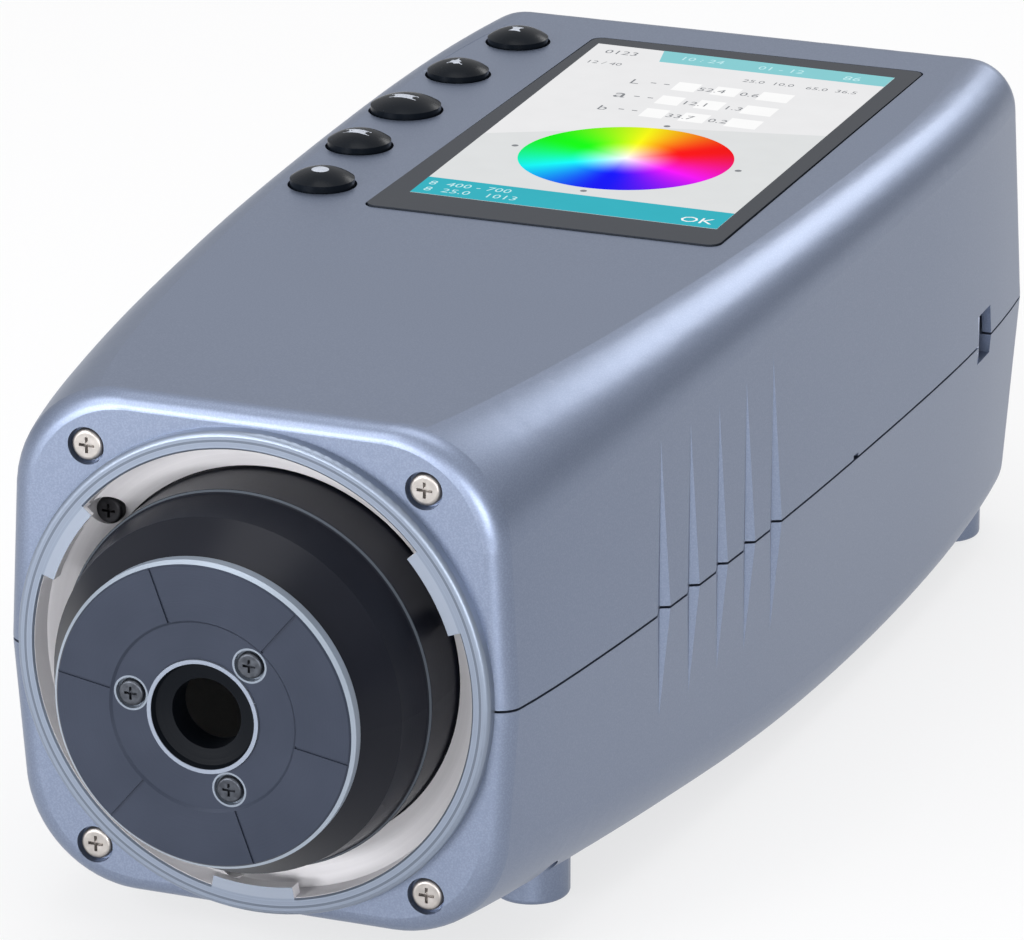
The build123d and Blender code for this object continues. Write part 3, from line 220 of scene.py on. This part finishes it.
plate = Finish("machined_plate", {"Metallic": 1.0})
plate_grain = plate.noise(300, 4.0)
plate.feed("Base Color", plate.mix(plate_grain, (0.35, 0.35, 0.36, 1), (0.5, 0.5, 0.51, 1)))
plate.feed("Roughness", 0.35 + plate_grain * 0.2)
dress(plate, "chassis_plate")

# Sensor drum. Black stepped dome, turned and anodised, screwed behind the collar. Its gloss shows the
# room as soft bands, and a paler line on the step's edge is a painted highlight.
drum_highlight_edge_mm = 22.05
drum_highlight_edge_half_mm = 0.10
drum = Finish("gloss_black_drum", {"Specular IOR Level": 0.14})
drum_radius, _, _ = turned(drum, 5.0, 0.00002)
smear = drum.noise(60, 4.0)
drum_black = drum.mix(smear, (0.003, 0.004, 0.007, 1), (0.008, 0.009, 0.015, 1))
# A paler ring painted on the step's edge stands for its highlight.
painted_edge_highlight = (drum_radius - drum_highlight_edge_mm).maths("ABSOLUTE") < drum_highlight_edge_half_mm
drum.feed("Base Color", drum.mix(painted_edge_highlight, drum_black, (0.055, 0.065, 0.080, 1)))
drum.feed("Roughness", 0.26 + smear * 0.14)
dress(drum, "sensor_drum")

# Nose disc. Slate anodised plate with engraved lines. A paler colour on its turned edge is a painted
# highlight, and paler rims are painted round its three screw wells.
disc_edge_mm = 17.5
disc_screw_circle_mm = 8.7
disc_screw_angle = 50
well_rim_mm = (1.55, 2.02)
disc = Finish("slate_anodised_disc", {"Specular IOR Level": 0.25})
disc_radius, _, disc_rings = turned(disc, 7.0, 0.00002)
disc_cloud = disc.noise(120, 3.0)
slate = disc.mix(disc_cloud * 0.6 + disc_rings * 0.3, (0.020, 0.026, 0.042, 1), (0.035, 0.043, 0.067, 1))
disc_x, _, disc_z = disc.axes()
nearest = None
for number in range(3):
    turn = math.radians(disc_screw_angle + 120 * number)
    dx = disc_x - disc_screw_circle_mm * math.cos(turn)
    dz = disc_z - head_height_mm - disc_screw_circle_mm * math.sin(turn)
    away = (dx * dx + dz * dz).maths("SQRT")
    nearest = away if nearest is None else nearest.maths("MINIMUM", away)
well_rim = (nearest > well_rim_mm[0]) * (nearest < well_rim_mm[1])
# The turned edge's paler colour is a painted highlight; the rims round the wells are painted paler too.
rim_highlight_and_well_rims = (disc_radius > disc_edge_mm).maths("MAXIMUM", well_rim * 0.55)
disc.feed("Base Color", disc.mix(rim_highlight_and_well_rims, slate, (0.33, 0.38, 0.45, 1)))
disc.feed("Metallic", 0.35 + rim_highlight_and_well_rims * 0.3)
disc.feed("Roughness", 0.34 + disc_cloud * 0.12)
dress(disc, "nose_disc")

# Aperture ring and detector tube. Turned tubes in matt black, so that no stray light gets in. Only the
# ring's lip is paler and partly metallic.
bare_lip_mm = 6.12
aperture = Finish("matt_black_tube", {"Specular IOR Level": 0.08})
aperture_radius, _, aperture_rings = turned(aperture, 6.0, 0.00003)
lip = aperture_radius > bare_lip_mm
aperture.feed("Base Color", aperture.mix(lip, (0.002, 0.003, 0.005, 1), (0.22, 0.25, 0.31, 1)))
aperture.feed("Metallic", lip * 0.6)
aperture.feed("Roughness", 0.45 + aperture_rings * 0.2)
dress(aperture, "aperture_ring", "detector_tube")

# Integrating sphere, optics, boards and cells inside. Pale-lined plastic halves, a small lens, green
# circuit boards with black chips and two wrapped cells, all hidden by the shell.
lining = Finish("white_lining", {})
chalk = lining.noise(500, 4.0)
lining.feed("Base Color", lining.mix(chalk, (0.34, 0.34, 0.34, 1), (0.42, 0.42, 0.42, 1)))
lining.feed("Roughness", 0.8 + chalk * 0.2)
dress(lining, "sphere_front", "sphere_rear")

optic = Finish("lens_glass", {"Transmission Weight": 1.0, "IOR": 1.5})
haze = optic.noise(400)
optic.feed("Base Color", optic.mix(haze, (0.90, 0.94, 0.98, 1), (0.95, 0.97, 1.0, 1)))
optic.feed("Roughness", 0.03 + haze * 0.05)
dress(optic, "detector_lens", "lamp_led")

mask_green = Finish("solder_mask", {})
tracks = mask_green.noise(350, 3.0)
mask_green.feed("Base Color", mask_green.mix(tracks, (0.010, 0.070, 0.030, 1), (0.02, 0.12, 0.05, 1)))
mask_green.feed("Roughness", 0.3 + tracks * 0.15)
dress(mask_green, "sensor_board", "lamp_board", "display_board", "main_board", "socket_board",
      "switch_board")

chip = Finish("moulded_black", {})
chip_grain = chip.noise(2500, 3.0)
chip.feed("Base Color", chip.mix(chip_grain, (0.012, 0.012, 0.013, 1), (0.03, 0.03, 0.032, 1)))
chip.feed("Roughness", 0.5 + chip_grain * 0.2)
chip.feed("Normal", chip.bump(chip_grain, 0.3, 0.00005))
dress(chip, "light_sensor", "key_switches", "board_chips", "power_socket", "power_switch", "measure_switch",
      "battery_tray", "rear_panel")

film = Finish("ribbon_film", {})
film_grain = film.noise(600, 3.0)
film.feed("Base Color", film.mix(film_grain, (0.42, 0.16, 0.02, 1), (0.55, 0.24, 0.04, 1)))
film.feed("Roughness", 0.25 + film_grain * 0.15)
dress(film, "display_ribbon")

wrap = Finish("battery_wrap", {})
wrap_grain = wrap.noise(200, 3.0)
wrap.feed("Base Color", wrap.mix(wrap_grain, (0.015, 0.05, 0.22, 1), (0.03, 0.08, 0.30, 1)))
wrap.feed("Roughness", 0.2 + wrap_grain * 0.15)
dress(wrap, "battery_pack")

# Keys, measure button and power slider. Glossy black moulded domes, each with a small pale mark on its
# crown that is print and painted highlight together.
gloss_black = Finish("gloss_black_keys", {"Specular IOR Level": 0.09})
touch = gloss_black.noise(140, 4.0)
gloss_black.feed("Base Color", gloss_black.mix(touch, (0.003, 0.004, 0.006, 1), (0.006, 0.009, 0.014, 1)))
gloss_black.feed("Roughness", 0.20 + touch * 0.16)
dress(gloss_black, "key_1", "key_2", "key_3", "key_4", "key_5", "measure_button", "power_slider")

# The pale marks on the crowns are part print and part painted highlight.
key_print_and_highlight = Finish("pale_key_ink", {"Specular IOR Level": 0.3})
mark_grain = key_print_and_highlight.noise(1800, 2.0)
key_print_and_highlight.feed("Base Color", key_print_and_highlight.mix(mark_grain, (0.34, 0.37, 0.43, 1), (0.60, 0.63, 0.70, 1)))
key_print_and_highlight.feed("Roughness", 0.45 + mark_grain * 0.2)

crown_mm, shoulder_mm = 66.25, 64.95
key_radii_mm = (3.95, 3.95, 4.45, 3.95, 3.95)
mark_lift_mm = 0.01
mark_ring_shares = (1.0, 0.6, 0.25)
mark_y_mm = -0.6


def object_from(name, vertices, faces, finish, body):
    """Adds a mesh, given in millimetres, that rides a body and has the finish in its material slot."""
    mesh = bpy.data.meshes.new(name)
    mesh.from_pydata([tuple(value / 1000 for value in vertex) for vertex in vertices], [], faces)
    mesh.validate()
    mesh.materials.append(finish.material)
    piece = bpy.data.objects.new(name, mesh)
    bpy.context.scene.collection.objects.link(piece)
    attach(piece, body)


def mark_on_key(number, spot, radius, outline):
    """A pale mark, print and painted highlight together, that follows the key's dome: its outline, shrunk
    in steps to its middle.
    """
    rise = crown_mm - shoulder_mm
    dome = (radius ** 2 + rise ** 2) / (2 * rise)
    middle = (sum(x for x, _ in outline) / len(outline), sum(y for _, y in outline) / len(outline))
    vertices, faces = [], []
    for share in mark_ring_shares:
        for x, y in outline:
            x = middle[0] + (x - middle[0]) * share
            y = middle[1] + (y - middle[1]) * share
            drop = dome - math.sqrt(dome ** 2 - x * x - y * y)
            vertices.append((spot[0] + x, spot[1] + y, crown_mm + mark_lift_mm - drop))
    count = len(outline)
    for ring in range(len(mark_ring_shares) - 1):
        for k in range(count):
            after = (k + 1) % count
            faces.append((ring * count + k, ring * count + after,
                          (ring + 1) * count + after, (ring + 1) * count + k))
    faces.append(tuple(range(len(vertices) - count, len(vertices))))
    object_from(f"key_mark_{number}", vertices, faces, key_print_and_highlight, f"key_{number}")


def bar(half_length, half_height, steps):
    """A bar with points along its long sides, so that it can bend over a dome."""
    xs = [-half_length + 2 * half_length * k / steps for k in range(steps + 1)]
    return ([(x, mark_y_mm - half_height) for x in xs]
            + [(x, mark_y_mm + half_height) for x in reversed(xs)])


oval_turns = [2 * math.pi * k / 20 for k in range(20)]
key_marks = [
    [(1.1 * math.cos(t), mark_y_mm + 0.9 * math.sin(t)) for t in oval_turns],
    bar(1.7, 0.55, 6),
    bar(1.8, 0.6, 6),
    [(-1.1, -1.35), (0.0, -1.45), (1.1, -1.35), (0.6, -0.45), (0.0, 0.45), (-0.6, -0.45)],
    bar(0.8, 0.7, 4),
]
for number, (radius, outline) in enumerate(zip(key_radii_mm, key_marks), 1):
    low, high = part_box(f"key_{number}")
    spot = [(a + b) / 2 * 1000 for a, b in zip(low[:2], high[:2])]
    mark_on_key(number, spot, radius, outline)

# Display window. A pane with a grey-black border printed behind it, flush with the deck, over a lit
# colour panel. Its picture is made of thin glowing layers: bands, boxes and plain numbers.
window = Finish("window_pane", {"Specular IOR Level": 0.12})
window_haze = window.noise(90, 3.0)
window.feed("Base Color", window.mix(window_haze, (0.020, 0.024, 0.032, 1), (0.030, 0.035, 0.045, 1)))
window.feed("Roughness", 0.26 + window_haze * 0.12)
dress(window, "display_window")

pane_top_mm = 64.3
layer_mm = 0.012
lit_rear_left, lit_rear_right = (-16.4, 149.9), (24.5, 148.7)
lit_front_left, lit_front_right = (-14.5, 80.6), (25.0, 80.0)


def on_screen(u, v):
    """The place on the pane, in mm, of a share u of the lit width and v of its length from the rear."""
    rear = [a + (b - a) * u for a, b in zip(lit_rear_left, lit_rear_right)]
    front = [a + (b - a) * u for a, b in zip(lit_front_left, lit_front_right)]
    x, b = (r + (f - r) * v for r, f in zip(rear, front))
    return x, face_y_mm + b


unlit_panel = {
    "Base Color": (0.01, 0.01, 0.01, 1), "Specular IOR Level": 0.0, "Roughness": 0.4,
    "Emission Strength": 1.0,
}


def glow(name, color):
    """A finish that shines: its colour varies a little, as a panel's does."""
    made = Finish(name, unlit_panel)
    faint = made.noise(260)
    made.feed("Emission Color", made.mix(faint, color, tuple(c * 0.95 for c in color[:3]) + (1,)))
    return made


def sheet(name, corners, layer, finish):
    """A flat layer of the picture from its corners in (u, v)."""
    places = [on_screen(u, v) for u, v in corners]
    area = sum(a[0] * b[1] - b[0] * a[1] for a, b in zip(places, places[1:] + places[:1]))
    if area < 0:
        places.reverse()
    height = pane_top_mm + layer_mm * layer
    object_from(name, [(x, y, height) for x, y in places], [tuple(range(len(places)))], finish,
                "instrument")


def band(u0, v0, u1, v1):
    """The corners of an upright box on the screen."""
    return [(u0, v1), (u1, v1), (u1, v0), (u0, v0)]


ground = glow("screen_ground", (0.84, 0.84, 0.85, 1))
lower_ground = glow("screen_lower_ground", (0.745, 0.76, 0.765, 1))
teal = glow("screen_teal", (0.25, 0.62, 0.66, 1))
deep_teal = glow("screen_deep_teal", (0.035, 0.45, 0.54, 1))
white = glow("screen_white", (0.985, 0.985, 0.985, 1))
pale_letters = glow("screen_pale_letters", (0.55, 0.85, 0.88, 1))
grey_letters = glow("screen_grey_letters", (0.24, 0.25, 0.27, 1))
sheet("screen_ground", band(0, 0, 1, 1), 1, ground)
sheet("screen_lower_ground", [(0, 0.623), (0, 1), (1, 1), (1, 0.403), (0.5, 0.47)], 2, lower_ground)
sheet("screen_header", [(0.225, 0), (0.25, 0.072), (1, 0.064), (1, 0)], 3, teal)
sheet("screen_footer", band(0, 0.905, 1, 1), 3, deep_teal)
readout_rows = (0.212, 0.305, 0.392)
box_spans = ((0.385, 0.462), (0.515, 0.598), (0.668, 0.772))
box_above, box_below = 0.030, 0.024
for row, v in enumerate(readout_rows):
    for number, (u0, u1) in enumerate(box_spans):
        sheet(f"readout_box_{row}_{number}", band(u0, v - box_above, u1, v + box_below), 3, white)


print_height_mm = pane_top_mm + 4 * layer_mm


def numerals(name, words, u, v, height_mm, finish):
    """A line of plain letters and numbers, its left end at u and its middle at v."""
    curve = bpy.data.curves.new(name, "FONT")
    curve.body = words
    curve.size = 1
    curve.resolution_u = 2
    writer = bpy.data.objects.new(name, curve)
    bpy.context.scene.collection.objects.link(writer)
    bpy.context.view_layer.update()
    outline = bpy.data.meshes.new_from_object(writer)
    bpy.data.objects.remove(writer)
    tallest = max(vertex.co.y for vertex in outline.vertices)
    scale = height_mm / tallest
    x0, y0 = on_screen(u, v)
    vertices = [(x0 + vertex.co.x * scale, y0 - height_mm / 2 + vertex.co.y * scale, print_height_mm)
                for vertex in outline.vertices]
    faces = [tuple(face.vertices) for face in outline.polygons]
    object_from(name, vertices, faces, finish, "instrument")


readouts = (("L", "52.4", "0.6"), ("a", "12.1", "1.3"), ("b", "33.7", "0.2"))
for row, (v, (letter, first, second)) in enumerate(zip(readout_rows, readouts)):
    numerals(f"readout_letter_{row}", letter, 0.236, v, 1.9, grey_letters)
    numerals(f"readout_dash_{row}", "- -", 0.300, v, 0.8, grey_letters)
    numerals(f"readout_first_{row}", first, 0.464, v, 1.5, grey_letters)
    numerals(f"readout_second_{row}", second, 0.604, v, 1.5, grey_letters)
numerals("screen_title", "0123", 0.050, 0.045, 1.6, grey_letters)
numerals("screen_count", "12 / 40", 0.030, 0.120, 1.2, grey_letters)
numerals("screen_column_1", "25.0  10.0", 0.565, 0.127, 1.2, grey_letters)
numerals("screen_column_2", "65.0  36.5", 0.775, 0.127, 1.2, grey_letters)
numerals("header_left", "10 : 24", 0.300, 0.034, 1.5, pale_letters)
numerals("header_middle", "01 - 12", 0.565, 0.036, 1.5, pale_letters)
numerals("header_right", "86", 0.850, 0.038, 1.7, pale_letters)
numerals("footer_upper", "8  400 - 700", 0.022, 0.936, 1.5, pale_letters)
numerals("footer_lower", "8  25.0   1013", 0.028, 0.972, 1.5, pale_letters)
numerals("footer_right", "OK", 0.862, 0.966, 2.0, white)

# Colour wheel on the screen. Drawn by formula: the hue turns with the angle and the colour fades to
# white in the middle, with four small marks round it.
wheel_x, wheel_b, wheel_radius = 4.9, 103.1, 13.3
hue_start = 36 / 360
white_core_rise = 1.9
rim_dimming = 0.06
hue_wheel = Finish("screen_hue_wheel", unlit_panel)
wheel_east, wheel_north, _ = hue_wheel.axes()
wheel_east = wheel_east - wheel_x
wheel_north = wheel_north - (face_y_mm + wheel_b)
turned_share = wheel_north.maths("ARCTAN2", wheel_east) * (1 / (2 * math.pi)) + (1 - hue_start)
reach = (wheel_east * wheel_east + wheel_north * wheel_north).maths("SQRT") * (1 / wheel_radius)
wheel_color = hue_wheel.place.node("CombineColor", {"mode": "HSV"}, {
    0: turned_share.maths("FRACT"),
    1: (reach * white_core_rise).maths("MINIMUM", 1.0),
    2: 1.0 - reach * reach * rim_dimming,
})
hue_wheel.feed("Emission Color", wheel_color.node("Gamma", {}, {"Color": wheel_color, "Gamma": 2.2}))


def round_print(name, x, b, radius, points, finish):
    """A flat round print on the screen, its middle at x and at b behind the instrument's face."""
    turns = [2 * math.pi * k / points for k in range(points)]
    vertices = [(x + radius * math.cos(t), face_y_mm + b + radius * math.sin(t), print_height_mm)
                for t in turns]
    object_from(name, vertices, [tuple(range(points))], finish, "instrument")


round_print("screen_hue_wheel", wheel_x, wheel_b, wheel_radius, 120, hue_wheel)
mark_reach = wheel_radius + 1.3
mark_radius = 0.45
for number in range(4):
    turn = math.pi / 2 * number
    round_print(f"wheel_mark_{number}", wheel_x + mark_reach * math.cos(turn),
                wheel_b + mark_reach * math.sin(turn), mark_radius, 10, grey_letters)

# Studio. A white floor that keeps the object's shadow, a surround that is white above and pale grey at
# the horizon, a long soft lamp behind the right shoulder and four above and in front.
camera_place = (0.27124, -0.68822, 0.29634)
lens_mm = 228.5
back = Vector((0.3446, -0.8765, 0.3363)).normalized()
right = Vector((0, 0, 1)).cross(back).normalized()
up = back.cross(right)
camera = bpy.data.objects.new("camera", bpy.data.cameras.new("camera"))
bpy.context.scene.collection.objects.link(camera)
camera.matrix_world = (Matrix.Translation(camera_place)
                       @ Matrix((right, up, back)).transposed().to_4x4())
camera.data.sensor_width = 36
camera.data.lens = lens_mm
camera.data.clip_end = 20
bpy.context.scene.camera = camera

floor_mesh = bpy.data.meshes.new("floor")
floor_corners = [(-3, -3, 0), (3, -3, 0), (3, 3, 0), (-3, 3, 0)]
floor_mesh.from_pydata(floor_corners, [], [(0, 1, 2, 3)])
floor = bpy.data.objects.new("floor", floor_mesh)
bpy.context.scene.collection.objects.link(floor)
pale = Finish("pale_floor", {"Base Color": (0.86, 0.86, 0.87, 1), "Roughness": 0.8})
floor_mesh.materials.append(pale.material)
floor_white_share = 0.72


def background_rays(tree):
    """The three kinds of ray that see the background: from the camera, off gloss and through glass."""
    kinds = tree.nodes.new("ShaderNodeLightPath").outputs
    return (Tone(tree, kinds["Is Camera Ray"]) + Tone(tree, kinds["Is Glossy Ray"])
            + Tone(tree, kinds["Is Transmission Ray"]))


floor_tree = pale.place.tree
to_white = background_rays(floor_tree) * floor_white_share
glow_of_floor = to_white.node("Emission", {}, {"Color": (1, 1, 1, 1), "Strength": 1.0})
floor_paint = Tone(floor_tree, pale.shader.outputs[0])
mixed = to_white.node("MixShader", {}, {0: to_white, 1: floor_paint, 2: glow_of_floor})
floor_tree.links.new(mixed.link, floor_tree.nodes["Material Output"].inputs["Surface"])

world = bpy.data.worlds.new("studio")
bpy.context.scene.world = world
world.use_nodes = True
world_tree = world.node_tree
split = world_tree.nodes.new("ShaderNodeSeparateXYZ")
world_tree.links.new(world_tree.nodes.new("ShaderNodeTexCoord").outputs["Generated"], split.inputs[0])
upwards = Tone(world_tree, split.outputs[2])
shade = upwards.node("ValToRGB", {"stops": [
    (0.0, (0.38, 0.39, 0.41, 1)), (0.14, (0.44, 0.45, 0.47, 1)), (0.45, (0.86, 0.86, 0.87, 1)),
    (0.8, (1, 1, 1, 1)),
]}, {"Fac": upwards})
backdrop = world_tree.nodes["Background"]
world_tree.links.new(shade.link, backdrop.inputs["Color"])
plain_level = 0.6
strength = background_rays(world_tree) * (1 - plain_level) + plain_level
world_tree.links.new(strength.link, backdrop.inputs["Strength"])


def lamp(name, place, aim, size, power):
    light = bpy.data.lights.new(name, "AREA")
    light.shape = "RECTANGLE"
    light.size, light.size_y = size
    light.energy = power
    made = bpy.data.objects.new(name, light)
    bpy.context.scene.collection.objects.link(made)
    made.location = place
    made.rotation_euler = (Vector(aim) - Vector(place)).to_track_quat("-Z", "Y").to_euler()


lamp("shoulder_lamp", (0.30, 1.00, 0.62), (0, 0, 0.05), (0.50, 0.26), 2.8)
lamp("top_lamp", (0.0, -0.1, 0.95), (0, 0, 0.03), (0.6, 0.6), 3)
lamp("front_lamp", (-0.55, -0.85, 0.6), (0, -0.05, 0.03), (0.6, 0.5), 5)
lamp("low_front_lamp", (0.42, -1.05, 0.07), (0.03, -0.03, 0.03), (0.5, 0.11), 6)
lamp("low_left_lamp", (-0.45, -1.02, 0.10), (0, -0.08, 0.04), (0.5, 0.16), 6)
bpy.context.scene.view_settings.view_transform = "Standard"
